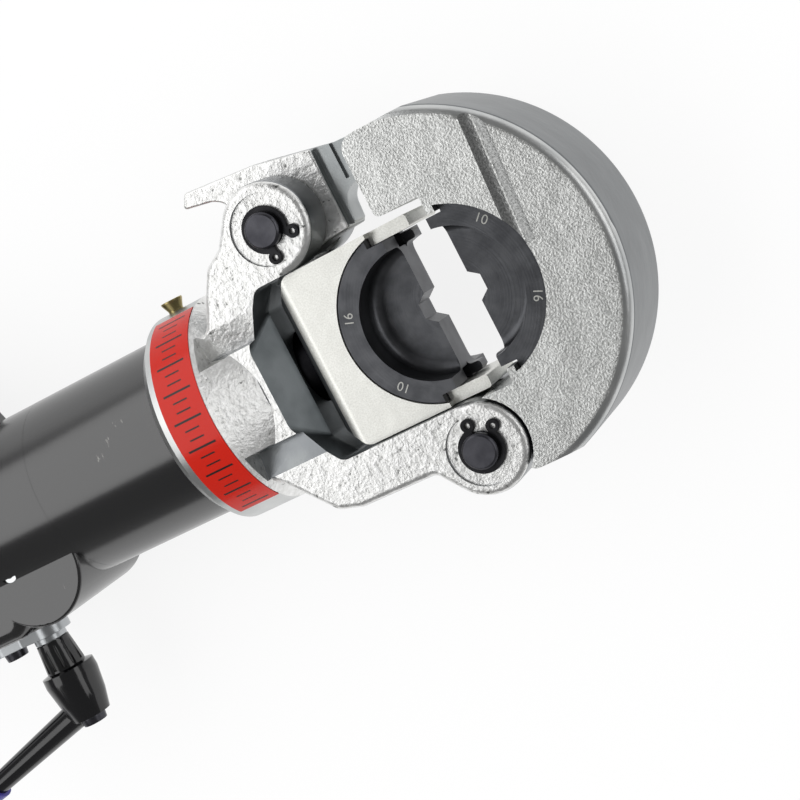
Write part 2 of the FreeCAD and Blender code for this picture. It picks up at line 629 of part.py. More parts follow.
def lever_way():
    slope = math.radians(ARM_SLOPE)
    return V(-math.cos(slope), -math.sin(slope), 0)


def lever_arm():
    """The clamp lever's tapered arm and its round tip."""
    start = V(VALVE_X, -PUMP_HALF_Y - ARM_AT, 0)
    arm = Part.makeCone(4.9, 3.7, ARM_LEN, start, lever_way())
    return arm, Part.makeSphere(3.7, start.add(lever_way().multiply(ARM_LEN)))


def make_hub():
    """The clamp lever: a splined neck, a round hub and a tapered arm."""
    face = -PUMP_HALF_Y
    hub = turned([(HUB_FROM, 0), (HUB_FROM, 5.9), (17.0, 7.0), (17.6, 9.4), (21.0, 9.6), (29.0, 8.4),
                  (HUB_END, 6.7), (HUB_END, 0)], (VALVE_X, face, 0), (0, -1, 0))
    arm, tip = lever_arm()
    hub = fuse([hub, arm, tip])
    for i in range(12):
        a = 2 * math.pi * i / 12
        groove = rod_y(0.7, face - 16.2, face - HUB_FROM + 0.6, VALVE_X + 6.7 * math.cos(a), 6.7 * math.sin(a))
        hub = hub.cut(groove)
    hub = hub.cut(rod_y(5.0, face - HUB_END - 8.0, face - HUB_END, VALVE_X))
    hub = hub.cut(rod_y(STEM_R, face - STEM_END, face - HUB_FROM + 1.0, VALVE_X))
    return hub.cut(rod_y(2.0, face - HUB_END - 8.0, face - STEM_END + 1.0, VALVE_X))


def make_sleeve():
    """Plastic end pushed over the arm's tip."""
    base = V(VALVE_X, -PUMP_HALF_Y - ARM_AT, 0).add(lever_way().multiply(ARM_LEN - 2.5))
    sleeve = Part.makeCone(5.0, 4.6, 9.0, base, lever_way())
    sleeve = sleeve.fuse(Part.makeSphere(4.6, base.add(lever_way().multiply(9.0)))).removeSplitter()
    arm, tip = lever_arm()
    return sleeve.cut(arm.fuse(tip))


def handle_point(distance, degrees):
    a = math.radians(180 - degrees)
    return V(PIVOT_X + distance * math.cos(a), PIVOT_Y + distance * math.sin(a), 0)


def handle_piece(radius, d0, d1):
    base = handle_point(d0, HANDLE_DEG)
    way = handle_point(d1, HANDLE_DEG).sub(base)
    return Part.makeCylinder(radius, d1 - d0, base, way)


def make_grip(inner, outer, base, way):
    """A vinyl grip: plain at both ends, with sloping-sided ribs between."""
    profile = [(0, inner), (0, outer - 1.2), (1.2, outer)]
    along = 14.0
    while along + GRIP_RIB < GRIP_LEN - 8.0:
        profile += [(along, outer), (along + 0.8, outer - GRIP_GROOVE), (along + 2.8, outer - GRIP_GROOVE),
                    (along + 3.6, outer)]
        along += GRIP_RIB
    profile += [(GRIP_LEN - 1.2, outer), (GRIP_LEN, outer - 1.2), (GRIP_LEN, inner)]
    return turned(profile, base, way)


def make_handle_root():
    """Fork of the pump handle: hub, cheeks with the plunger's slot, and socket."""
    hub = rod_z(10.3, -10.0, 10.0, PIVOT_X, PIVOT_Y)
    d = PIVOT_X - PLUNGER_X
    slot_end = handle_point(d / math.cos(math.radians(SLOT_DEG)), SLOT_DEG)
    cheek = rod_z(9.0, -10.0, 10.0, slot_end.x, slot_end.y)
    low = handle_point(30.0, HANDLE_DEG)
    corners = [pt(PIVOT_X, PIVOT_Y, 10.3, 180 - SLOT_DEG + 90), pt(slot_end.x, slot_end.y, 9.0, 180 - SLOT_DEG + 90),
               pt(slot_end.x, slot_end.y, 9.0, 180 - SLOT_DEG), pt(low.x, low.y, 11.0, 180 - HANDLE_DEG + 90),
               pt(low.x, low.y, 11.0, 180 - HANDLE_DEG - 90), pt(PIVOT_X, PIVOT_Y, 10.3, 180 - HANDLE_DEG - 90)]
    web = prism(corners, -10.0, 10.0)
    socket = handle_piece(14.0, 30.0, 62.0)
    collar = handle_piece(14.0, 26.0, 31.0).common(box(-400, 0, 0, 400, -10.0, 10.0))
    root = fuse([hub, cheek, web, collar, socket])
    root = root.cut(rod_z(4.0 + PIN_FIT, -40, 40, PIVOT_X, PIVOT_Y))
    # Gap for the plunger's head, and the slot its pin runs in
    way = slot_end.sub(V(PIVOT_X, PIVOT_Y, 0))
    way.normalize()
    side = V(-way.y, way.x, 0)
    gap = []
    for along, across in ((8.4, -16), (10.7, -4), (10.9, 11.0), (26, 11.0), (40, -16)):
        p = V(PIVOT_X, PIVOT_Y, 0).add(V(way).multiply(along)).add(V(side).multiply(-across))
        gap.append((p.x, p.y, 0))
    root = root.cut(prism(gap, -4.6, 4.6))
    ends = []
    for along in (-1.6, 1.6):
        p = slot_end.add(V(way).multiply(along))
        ends.append(rod_z(3.0 + 0.35, -12, 12, p.x, p.y))
        for across in (-3.35, 3.35):
            q = p.add(V(side).multiply(across))
            ends.append(V(q.x, q.y, 0))
    plate = prism([(ends[1].x, ends[1].y), (ends[2].x, ends[2].y), (ends[5].x, ends[5].y), (ends[4].x, ends[4].y)],
                  -12, 12)
    for tool in (ends[0], ends[3], plate):
        root = root.cut(tool)
    return root.cut(handle_piece(HANDLE_R, 36.0, 63.0))


def make_plunger():
    d = (PIVOT_X - PLUNGER_X) * math.tan(math.radians(SLOT_DEG))
    pin_y = PIVOT_Y + d
    body = rod_y(PLUNGER_R, 17.0, pin_y - 11.5, PLUNGER_X)
    head = rod_z(5.8, -4.2, 4.2, PLUNGER_X, pin_y)
    blade = box(PLUNGER_X - 5.0, PLUNGER_X + 5.0, pin_y - 13.0, pin_y, -4.2, 4.2)
    blade = blade.common(rod_y(PLUNGER_R, pin_y - 14.0, pin_y + 8, PLUNGER_X))
    body = fuse([body, head, blade])
    body = body.cut(rod_z(3.0, -12, 12, PLUNGER_X, pin_y))
    nodes["plunger_pin"] = rod_z(3.0, -9.6, 9.6, PLUNGER_X, pin_y)
    return body


nodes["lower_die"] = make_die()
upper = make_die()
upper.rotate(V(0, 0, 0), V(0, 1, 0), 180)
nodes["upper_die"] = upper
nodes["ram_block"] = make_ram_block()
nodes["ram_button"] = make_button(-1, -BLOCK_HALF_Z)
nodes["ram_button_spring"] = make_button_spring(-1, -BLOCK_HALF_Z)
nodes["ram_ball"] = make_ball(-1)
nodes["yoke"] = make_yoke()
nodes["yoke_button"] = make_button(1, -YOKE_HALF_Z)
nodes["yoke_button_spring"] = make_button_spring(1, -YOKE_HALF_Z)
nodes["yoke_ball"] = make_ball(1)
nodes["latch_lever"] = make_latch()
nodes["latch_spring"] = coil(7.9, 0.45, 4.4, 3.0, (LATCH_X, PIN_Y, -7.6), (0, 0, 1))
nodes["head_casting"] = make_head()

clip_z = HEAD_HALF_Z - SPOT_DEPTH
for name, x, y, towards, spread, reach in (("latch", LATCH_X, PIN_Y, -62, 34.0, 1.5),
                                           ("hinge", HINGE_X, -PIN_Y, 67, 28.0, 0.9)):
    nodes[name + "_pin"] = make_pin(x, y, PIN_R, PIN_END, clip_z, PIN_R - 0.5)
    nodes[name + "_clip_front"] = make_clip(x, y, clip_z, towards, PIN_R - 0.5, spread, reach)
    nodes[name + "_clip_back"] = make_clip(x, y, -clip_z - CLIP_T, towards, PIN_R - 0.5, spread, reach)

# Red band on the collar
band = rod_x(COLLAR_R + 0.25, -90.0, -75.4).cut(rod_x(COLLAR_R + 0.04, -92, -73))
a0 = math.radians(-58.0)
a1 = math.radians(72.0)
fan = [V(-95, 0, 0)]
for i in range(7):
    a = a0 + (a1 - a0) * i / 6.0
    fan.append(V(-95, 60 * math.sin(a), 60 * math.cos(a)))
fan.append(fan[0])
nodes["label_band"] = band.common(Part.Face(Part.makePolygon(fan)).extrude(V(25, 0, 0)))

nodes["collar_screw"] = turned([(28.3, 0), (28.3, 1.6), (CYL_R + 0.2, 1.6), (CYL_R + 0.2, 2.5), (COLLAR_R + 0.6, 2.5),
                                (38.2, 3.65), (38.8, 3.65), (38.8, 0.9), (37.8, 0.9), (37.8, 0)],
                               (GROOVE_X, 0, 0), (0, 1, 0))

tube = rod_x(CYL_R, TUBE_REAR, TUBE_FRONT).cut(rod_x(BORE_R, TUBE_REAR - 1, TUBE_FRONT + 1))
groove = rod_x(CYL_R + 1, GROOVE_X - 2.4, GROOVE_X + 2.4).cut(rod_x(CYL_R - 2.2, GROOVE_X - 3, GROOVE_X + 3))
nodes["cylinder_tube"] = tube.cut(groove)
gland = rod_x(BORE_R, GLAND_REAR, TUBE_FRONT).cut(rod_x(ROD_R + RUN, GLAND_REAR - 1, TUBE_FRONT + 1))
nodes["rod_gland"] = gland.cut(rod_x(ROD_R + 3.0, -92.0, -88.0))
nodes["rod_seal"] = rod_x(ROD_R + 3.0, -92.0, -88.0).cut(rod_x(ROD_R + 0.02, -93.0, -87.0))
piston = fuse([rod_x(8.0, BLOCK_REAR - 1, -38.5), rod_x(ROD_R, PISTON_REAR, BLOCK_REAR),
               rod_x(BORE_R - RUN, PISTON_REAR, PISTON_FRONT)])
ring_groove = rod_x(BORE_R + 1, -136.0, -132.0).cut(rod_x(BORE_R - 3.0, -137, -131))
nodes["piston"] = piston.cut(ring_groove)
nodes["piston_seal"] = rod_x(BORE_R - 0.02, -136.0, -132.0).cut(rod_x(BORE_R - 3.0, -137, -131))
nodes["return_spring"] = coil(16.5, 1.5, GLAND_REAR - PISTON_FRONT - 0.1, 4.5, (PISTON_FRONT + 0.05, 0, 0), (1, 0, 0))

nodes["pump_block"] = make_pump_block()
seat = PUMP_HALF_Y - GLAND_DEPTH
bore = rod_y(PLUNGER_R + RUN, seat - 1, PUMP_HALF_Y + 1, PLUNGER_X)
nodes["plunger_gland"] = rod_y(GLAND_R, seat, PUMP_HALF_Y, PLUNGER_X).cut(bore)
bore = rod_y(PLUNGER_R + 0.02, seat - 10, seat + 1, PLUNGER_X)
nodes["plunger_seal"] = rod_y(GLAND_R, PUMP_HALF_Y - SEAL_DEPTH, seat, PLUNGER_X).cut(bore)
nodes["outlet_ball"] = Part.makeSphere(3.0, V(-197.6, 6.0, 0))
nodes["outlet_spring"] = coil(2.6, 0.4, 14.2, 7.0, (-194.4, 6.0, 0), (1, 0, 0))
nodes["inlet_ball"] = Part.makeSphere(3.0, V(-223.6, 10.0, 0))
nodes["relief_ball"] = Part.makeSphere(2.4, V(RELIEF_X, RELIEF_Y, 0.0))
nodes["relief_spring"] = coil(2.0, 0.4, 10.4, 6.0, (RELIEF_X, RELIEF_Y, 2.2), (0, 0, 1))
relief = rod_z(2.9, 12.6, LUG_FACE, RELIEF_X, RELIEF_Y)
nodes["relief_screw"] = relief.cut(rod_z(1.3, LUG_FACE - 2.0, LUG_FACE + 1, RELIEF_X, RELIEF_Y))
nodes["plunger"] = make_plunger()
nodes["handle_root"] = make_handle_root()
tube = handle_piece(HANDLE_R, 36.0, HANDLE_LEN).cut(handle_piece(HANDLE_R - 2.0, 35.0, HANDLE_LEN + 1))
nodes["handle_tube"] = tube
base = handle_point(HANDLE_LEN - GRIP_LEN, HANDLE_DEG)
nodes["handle_grip"] = make_grip(HANDLE_R, GRIP_R, base, handle_point(HANDLE_LEN, HANDLE_DEG).sub(base))
cap = handle_piece(GRIP_R, HANDLE_LEN, HANDLE_LEN + 5.0)
nodes["handle_cap"] = cap.fuse(handle_piece(HANDLE_R - 2.0, HANDLE_LEN - 12.0, HANDLE_LEN)).removeSplitter()
nodes["handle_pin"] = make_pin(PIVOT_X, PIVOT_Y, 4.0, 22.8, PUMP_EAR_OUT, 3.5)
nodes["handle_clip_front"] = make_clip(PIVOT_X, PIVOT_Y, PUMP_EAR_OUT, 90, 3.5)
nodes["handle_clip_back"] = make_clip(PIVOT_X, PIVOT_Y, -PUMP_EAR_OUT - CLIP_T, 90, 3.5)

keeper = prism([(-209.0, -8.0, 6.0), (-195.0, -5.6, 3.0), (-178.2, -8.4, 7.0), (-178.2, 8.4, 7.0), (-195.0, 5.6, 3.0),
                (-209.0, 8.0, 6.0)], 0, KEEPER_T)
keeper.rotate(V(0, 0, 0), V(1, 0, 0), 90)
keeper.translate(V(0, -PUMP_HALF_Y, 0))
far = PUMP_HALF_Y + 30.0
keeper = keeper.cut(rod_y(GLAND_SPACER_R, -far, -20, VALVE_X)).cut(rod_y(2.0, -far, -20, KEEPER_SCREW_X))
nodes["keeper_plate"] = keeper
under = (KEEPER_SCREW_X, -PUMP_HALF_Y, 0)
nodes["keeper_screw"] = turned([(-6.5, 0), (-6.5, 2.0), (KEEPER_T, 2.0), (KEEPER_T, 4.2), (KEEPER_T + 3.0, 3.8),
                                (KEEPER_T + 3.0, 1.5), (KEEPER_T + 1.4, 1.5), (KEEPER_T + 1.4, 0)], under, (0, -1, 0))
gland = rod_y(GLAND_SPACER_R, -PUMP_HALF_Y - SPACER_END, -PUMP_HALF_Y, VALVE_X)
nodes["valve_gland"] = gland.cut(rod_y(STEM_R + RUN, -far, -30, VALVE_X))
stem_end = PUMP_HALF_Y + STEM_END
nodes["release_stem"] = turned([(9.4, 0), (12.5, 2.4), (13.0, STEM_R), (stem_end, STEM_R), (stem_end, 0)],
                               (VALVE_X, 0, 0), (0, -1, 0))
nodes["release_hub"] = make_hub()
nodes["release_screw"] = turned([(STEM_END, 0), (STEM_END, 2.0), (HUB_END, 2.0), (HUB_END, 4.6), (HUB_END + 2.8, 4.2),
                                 (HUB_END + 2.8, 1.6), (HUB_END + 1.0, 1.6), (HUB_END + 1.0, 0)],
                                (VALVE_X, -PUMP_HALF_Y, 0), (0, -1, 0))
nodes["lever_sleeve"] = make_sleeve()

tank = rod_x(TANK_R, TANK_REAR, PUMP_REAR + 6).cut(rod_x(TANK_R - TANK_WALL, TANK_REAR - 1, PUMP_REAR + 7))
nodes["reservoir_tube"] = tank
bladder = rod_x(TANK_R - TANK_WALL, TANK_REAR + 28.0, PUMP_REAR + 5.9)
inside = rod_x(TANK_R - TANK_WALL - BLADDER_T, TANK_REAR + 28.0 + BLADDER_T, PUMP_REAR + 7)
nodes["oil_bladder"] = bladder.cut(inside)
cap = fuse([rod_x(TANK_R, TANK_REAR - 7.0, TANK_REAR), rod_x(TANK_R - TANK_WALL, TANK_REAR, TANK_REAR + 12.0)])
cap = soften(cap, 1.5, lambda e: e.BoundBox.XMax < TANK_REAR - 6.9)
nodes["reservoir_cap"] = cap.cut(rod_x(4.0, TANK_REAR - 8, TANK_REAR + 13))
nodes["filler_plug"] = fuse([rod_x(4.0, TANK_REAR - 7.0, TANK_REAR + 6.0), rod_x(6.5, TANK_REAR - 10.0, TANK_REAR - 7.0)])
grip_start = V(TANK_REAR + 5.0, 0, 0)
nodes["fixed_grip"] = make_grip(TANK_R, TANK_R + GRIP_WALL, grip_start, V(1, 0, 0))

os.makedirs("parts", exist_ok=True)
for name in sorted(nodes):
    shape = nodes[name]
    solids = shape.Solids
    if len(solids) == 1:
        shape = solids[0]
    note = "" if shape.isValid() and len(solids) == 1 else "   CHECK solids=%d valid=%s" % (len(solids), shape.isValid())
    print("%-20s %10.1f mm3%s" % (name, shape.Volume, note))
    shape.exportStep("parts/%s.step" % name)
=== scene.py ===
"""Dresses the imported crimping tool: finishes, stamped numbers, the band's scale and the studio.

The frame's axes are the part's own: +X along the tool towards the head, +Z out of the
head's front face, +Y towards the latch. Lengths are in millimetres and angles in degrees,
unless a comment says otherwise.
"""

import math

import bpy
from mathutils import Matrix, Vector


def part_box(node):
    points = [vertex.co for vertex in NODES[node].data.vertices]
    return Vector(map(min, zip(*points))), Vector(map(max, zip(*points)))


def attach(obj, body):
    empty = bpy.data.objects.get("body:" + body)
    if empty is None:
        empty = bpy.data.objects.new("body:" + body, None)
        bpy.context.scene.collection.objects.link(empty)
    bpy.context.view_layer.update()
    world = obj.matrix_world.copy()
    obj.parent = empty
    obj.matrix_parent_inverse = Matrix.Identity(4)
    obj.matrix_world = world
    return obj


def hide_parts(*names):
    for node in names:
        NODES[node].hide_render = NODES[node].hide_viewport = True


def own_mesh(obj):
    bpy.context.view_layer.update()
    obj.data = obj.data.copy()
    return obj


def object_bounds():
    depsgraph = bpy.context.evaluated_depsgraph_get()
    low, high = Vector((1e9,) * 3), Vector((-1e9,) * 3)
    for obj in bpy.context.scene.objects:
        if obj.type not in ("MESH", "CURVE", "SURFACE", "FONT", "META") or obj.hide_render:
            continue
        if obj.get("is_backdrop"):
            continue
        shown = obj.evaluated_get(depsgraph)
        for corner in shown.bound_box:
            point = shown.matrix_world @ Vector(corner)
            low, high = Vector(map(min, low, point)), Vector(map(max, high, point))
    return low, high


bl_info = {
    "name": "Crimping Tool Look",
    "version": (1, 0, 0),
    "blender": (4, 5, 0),
    "location": "View3D > Sidebar > Crimping Tool",
    "description": "Finishes, marks and studio for a hydraulic cable crimping tool",
    "category": "Object",
}

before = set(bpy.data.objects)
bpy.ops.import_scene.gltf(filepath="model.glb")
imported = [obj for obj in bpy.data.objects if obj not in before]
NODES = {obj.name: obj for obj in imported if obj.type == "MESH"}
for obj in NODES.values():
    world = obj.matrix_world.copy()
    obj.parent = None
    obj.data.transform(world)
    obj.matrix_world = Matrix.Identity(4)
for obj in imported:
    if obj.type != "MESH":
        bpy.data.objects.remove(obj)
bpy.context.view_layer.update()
MM = 0.001
WHITE = (1.0, 1.0, 1.0, 1.0)

# Faces that turn by less than FLAT are one face, edges that turn by more than SHARP are rounded
# and shaded as edges (both in radians), and vertices nearer than SEAM are one
FLAT = math.radians(0.5)
SHARP = math.radians(22.0)
SEAM = 0.002

# A printed mark stands this far off its surface
PRINT_LIFT = 0.02

# The dies: how far each centre is from the origin, the bore that holds them, and their numbers
DIE_CENTRE = 5.2
DIE_SEAT_R = 31.0
FRONT_OF_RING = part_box("upper_die")[1].z / MM
NUMBER_REACH = 24.4
NUMBER_HALF_THICKNESS = 0.01
NUMBER_THINNED = 0.02
FONT_SIZE_PER_HEIGHT = 1.43
# Each number's name, text, side (1 is the upper die) and angle about the die's centre
NUMBERS = (("upper_10", "10", 1, 44.0), ("upper_16", "16", 1, -24.0),
           ("lower_16", "16", -1, 160.5), ("lower_10", "10", -1, -135.5))

# The band on the collar and its scale, whose angles count from +Z about the tool's axis
BAND_LOW, BAND_HIGH = (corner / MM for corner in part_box("label_band"))
BAND_R = 35.25
BAND_FROM = -58.0
BAND_TO = 72.0
SCALE_MARGIN = 4.0
TICKS_PER_LONG = 3
# Half the length in mm and half the width in degrees
LONG_TICK = (5.0, 0.55)
SHORT_TICK = (2.6, 0.4)

# Where the finish and the painted shade change on the jaws. SIDE is the |z| of a normal below
# which a face is a side.
SIDE = 0.35
YOKE_X = -2.1
YOKE_OUTER_R = 35.0
RIM_R = 56.0
RIM_SLOPE = 0.97
SEAT_SLOPE = 0.5
CREASE_X = (28.0, 38.5)
CREASE_Y = 4.0
CREASE_R = 55.0
CREASE_SLOPE = (0.85, 0.9995)
COLLAR_X = -75.0
FORK_X = -71.0
FACET_X = -54.0
FACET_Y = (-24.6, -14.4)
FACET_SLOPE = (0.9, 0.99)
WINDOW_X = (-60.4, -8.0)
WINDOW_Y = (-29.05, 29.05)
WINDOW_SLOPE = 0.8
BLOCK_BACK_SLOPE = -0.5
HAMMER_X = -18.0
HAMMER_SLOPE = 0.8

# Where the cylinder's paint is scuffed, how far each patch reaches, and what is added to the
# marks' pattern at its middle and beyond its reach
SCUFFS = (((-114.0, 8.0, 29.0), 6.0), ((-109.0, 11.5, 27.7), 4.5), ((-119.0, 5.0, 29.6), 4.5),
          ((-160.0, -24.0, -18.0), 12.0), ((-200.0, 10.0, -28.0), 12.0))
SCUFFED, UNSCUFFED = 0.12, -0.1

# Each spring that shortens, its body and joint, the axis (0 is X) and how far it travels
SPRINGS = (("return_spring", "ram", "ram_slide", 0, 13.43),
           ("ram_button_spring", "ram_button", "ram_button_press", 2, 4.2),
           ("yoke_button_spring", "yoke_button", "yoke_button_press", 2, 4.2))

VIOLET = "#3F3A8C"

# The photograph's view: where the camera stands and its three directions
CAMERA_AT = (188.65, 21.83, 545.08)
CAMERA_RIGHT = (0.83497, -0.45962, -0.30262)
CAMERA_UP = (0.40246, 0.88508, -0.23380)
CAMERA_BACK = (0.37530, 0.07343, 0.92399)
CAMERA_LENS = 85.907
CAMERA_SENSOR = 36.0
CAMERA_CLIP_M = (0.01, 20.0)

# Two softboxes with a dark gap between them, which the rolled rim shows beside the yoke's face:
# where each stands from the tool, in metres, its length and width, and how bright it looks
SOFTBOXES = (("softbox_left", (-0.80, 0.62, 1.12), 2.8, 0.95, 1.6),
             ("softbox_right", (1.30, -0.05, 0.72), 1.6, 0.6, 1.45))

# The floor's half size, and the share of plain white in what a camera sees of it. The rest
# keeps the shadow.
FLOOR_HALF = 2500.0
FLOOR_WHITE = 0.85

# The sky that gloss sees. The side below the tool in the picture is darker, as if a black flag
# stood there. Each range is of a direction's share: along LIT_SIDE, or upwards.
LIT_SIDE = (-0.5, 0.86, 0.0)
FLAG_RANGE = (-0.5, 0.2)
CEILING_RANGE = (0.02, 0.4)


def to_linear(hex_colour):
    """An sRGB hex colour as the linear values that a socket takes."""
    value = hex_colour.lstrip("#")
    channels = [int(value[i:i + 2], 16) / 255.0 for i in (0, 2, 4)]
    linear = [c / 12.92 if c <= 0.04045 else ((c + 0.055) / 1.055) ** 2.4 for c in channels]
    return (linear[0], linear[1], linear[2], 1.0)


def per_metre(millimetres):
    """Texture scale whose pattern repeats about every so many millimetres."""
    return 1000.0 / millimetres


def within(value, span):
    """Whether a value lies between the two ends of a span."""
    return span[0] < value < span[1]


def off_axis(place, centre_x):
    """How far a place is from the line along Z through (centre_x, 0)."""
    return Vector((place.x - centre_x, place.y)).length


def add_node(tree, kind, inputs=None, **settings):
    """Adds a node with its settings; an input is a value or the socket that feeds it."""
    node = tree.nodes.new(kind)
    for name, value in settings.items():
        setattr(node, name, value)
    for key, value in (inputs or {}).items():
        if isinstance(value, bpy.types.NodeSocket):
            tree.links.new(value, node.inputs[key])
        else:
            node.inputs[key].default_value = value
    return node


def start_material(name, **values):
    """A material with only its surface shader; returns the material, its tree and the shader."""
    material = bpy.data.materials.new(name)
    material.use_nodes = True
    tree = material.node_tree
    tree.nodes.clear()
    shader = add_node(tree, "ShaderNodeBsdfPrincipled")
    for key, value in values.items():
        shader.inputs[key.replace("_", " ")].default_value = value
    add_node(tree, "ShaderNodeOutputMaterial", {"Surface": shader.outputs["BSDF"]})
    return material, tree, shader


def pattern(tree, size, detail=2.0, stretch=(1.0, 1.0, 1.0)):
    """Noise that repeats about every so many millimetres, fixed to the piece."""
    place = add_node(tree, "ShaderNodeTexCoord").outputs["Object"]
    place = add_node(tree, "ShaderNodeVectorMath", {0: place, 1: stretch},
                     operation="MULTIPLY").outputs[0]
    noise = add_node(tree, "ShaderNodeTexNoise",
                     {"Vector": place, "Scale": per_metre(size), "Detail": detail})
    return noise.outputs["Fac"]


def tone(tree, shader, factor, stops):
    """Colours the surface by a pattern, through (position, hex colour) stops."""
    ramp = add_node(tree, "ShaderNodeValToRGB", {"Fac": factor})
    elements = ramp.color_ramp.elements
    while len(elements) < len(stops):
        elements.new(0.5)
    for element, (position, hex_colour) in zip(elements, stops):
        element.position = position
        element.color = to_linear(hex_colour)
    tree.links.new(ramp.outputs["Color"], shader.inputs["Base Color"])


def relief(tree, shader, layers):
    """Bumps the surface by (pattern, height in mm, strength) layers, one on the other."""
    normal = None
    for factor, height, strength in layers:
        bump = add_node(tree, "ShaderNodeBump",
                        {"Height": factor, "Distance": height * MM, "Strength": strength})
        if normal is not None:
            tree.links.new(normal, bump.inputs["Normal"])
        normal = bump.outputs["Normal"]
    tree.links.new(normal, shader.inputs["Normal"])


def blasted_forged_steel(name, dark, light):
    """Forged steel, shot blasted and zinc plated: a silver skin with pits about 0.6 mm wide."""
    material, tree, shader = start_material(name, Metallic=1.0, Roughness=0.34)
    pits = pattern(tree, 0.6, 3.0)
    tone(tree, shader, pits, [(0.34, dark), (0.62, light)])
    relief(tree, shader, [(pattern(tree, 16.0), 0.9, 0.5), (pattern(tree, 3.0), 0.10, 0.6),
                          (pits, 0.16, 0.9)])
    return material


def blasted_cast_steel():
    """Cast steel, blasted and zinc plated: near white, wrinkled, with a few dark open pores."""
    material, tree, shader = start_material("cast_steel_blasted", Metallic=1.0, Roughness=0.38)
    wrinkles = pattern(tree, 1.9, 3.0)
    tone(tree, shader, wrinkles, [(0.27, "#747574"), (0.34, "#E4E4E2"), (0.7, "#F7F7F6")])
    relief(tree, shader, [(pattern(tree, 15.0), 0.9, 0.5), (wrinkles, 0.30, 0.8),
                          (pattern(tree, 0.7), 0.12, 0.8)])
    return material


def plated_rim():
    """The same plate on a rubbed forging: smooth mid grey, with faint lines round the rim."""
    material, tree, shader = start_material("forged_steel_rubbed", Metallic=1.0, Roughness=0.33)
    tone(tree, shader, pattern(tree, 16.0), [(0.35, "#B8BABA"), (0.65, "#D2D3D2")])
    lines = pattern(tree, 0.6, 2.0, (0.06, 0.06, 1.0))
    relief(tree, shader, [(pattern(tree, 11.0), 0.5, 0.5), (pattern(tree, 0.8), 0.05, 0.5),
                          (lines, 0.05, 0.5)])
    return material


def plated_side_painted_shade(name, dark, light):
    """Side of a forging: smooth, and darker than its face by painted shade."""
    material, tree, shader = start_material(name, Metallic=1.0, Roughness=0.34)
    tone(tree, shader, pattern(tree, 14.0), [(0.35, dark), (0.65, light)])
    relief(tree, shader, [(pattern(tree, 10.0), 0.4, 0.5), (pattern(tree, 0.8), 0.05, 0.5)])
    return material


def bead_blasted_steel():
    """Steel under fine bead blasting: an even matt silver, slightly warm."""
    material, tree, shader = start_material("steel_bead_blasted", Metallic=1.0, Roughness=0.36)
    tone(tree, shader, pattern(tree, 0.5), [(0.3, "#D8D8D2"), (0.7, "#ECECE7")])
    relief(tree, shader, [(pattern(tree, 14.0), 0.5, 0.4), (pattern(tree, 0.5), 0.04, 0.5)])
    return material


def milled_steel():
    """Milled and plated steel: smooth blue grey, with fine cutter lines along the tool."""
    material, tree, shader = start_material("steel_milled", Metallic=1.0, Roughness=0.3)
    tone(tree, shader, pattern(tree, 12.0), [(0.35, "#9FA3A4"), (0.65, "#B9BCBC")])
    lines = pattern(tree, 0.5, 2.0, (0.08, 1.0, 1.0))
    relief(tree, shader, [(pattern(tree, 9.0), 0.2, 0.4), (lines, 0.03, 0.5)])
    return material


def slot_side_painted_shade():
    """Steel side of the deep slot behind the ram block: dark grey painted shade, nearly smooth."""
    material, tree, shader = start_material("steel_slot_side_painted_shade", Metallic=1.0, Roughness=0.42)
    tone(tree, shader, pattern(tree, 10.0), [(0.35, "#6C7173"), (0.65, "#7E8385")])
    relief(tree, shader, [(pattern(tree, 6.0), 0.2, 0.4), (pattern(tree, 0.7), 0.03, 0.5)])
    return material


def black_oxide(name, dark, light, roughness):
    """Black oxide on machined steel: a dark skin that still shines like metal."""
    material, tree, shader = start_material(name, Metallic=1.0, Roughness=roughness)
    tone(tree, shader, pattern(tree, 5.0, 4.0), [(0.35, dark), (0.65, light)])
    relief(tree, shader, [(pattern(tree, 0.6), 0.03, 0.4)])
    return material


def turned_black_oxide():
    """Black oxide over a turned face: dark grey, with rings that the lathe tool left."""
    material, tree, shader = start_material("die_steel_black_oxide", Metallic=1.0, Roughness=0.38)
    tone(tree, shader, pattern(tree, 6.0, 4.0), [(0.35, "#4F5053"), (0.65, "#5F6063")])
    place = add_node(tree, "ShaderNodeTexCoord").outputs["Object"]
    flat = add_node(tree, "ShaderNodeVectorMath", {0: place, 1: (1.0, 1.0, 0.0)},
                    operation="MULTIPLY").outputs[0]
    radius = add_node(tree, "ShaderNodeVectorMath", {0: flat}, operation="LENGTH").outputs["Value"]
    # Real feed marks are 0.2 mm apart, too fine to show, so these are drawn 0.7 mm apart
    rings = add_node(tree, "ShaderNodeTexNoise", {"W": radius, "Scale": per_metre(0.7)},
                     noise_dimensions="1D")
    relief(tree, shader, [(rings.outputs["Fac"], 0.05, 0.5), (pattern(tree, 0.5), 0.02, 0.4)])
    return material


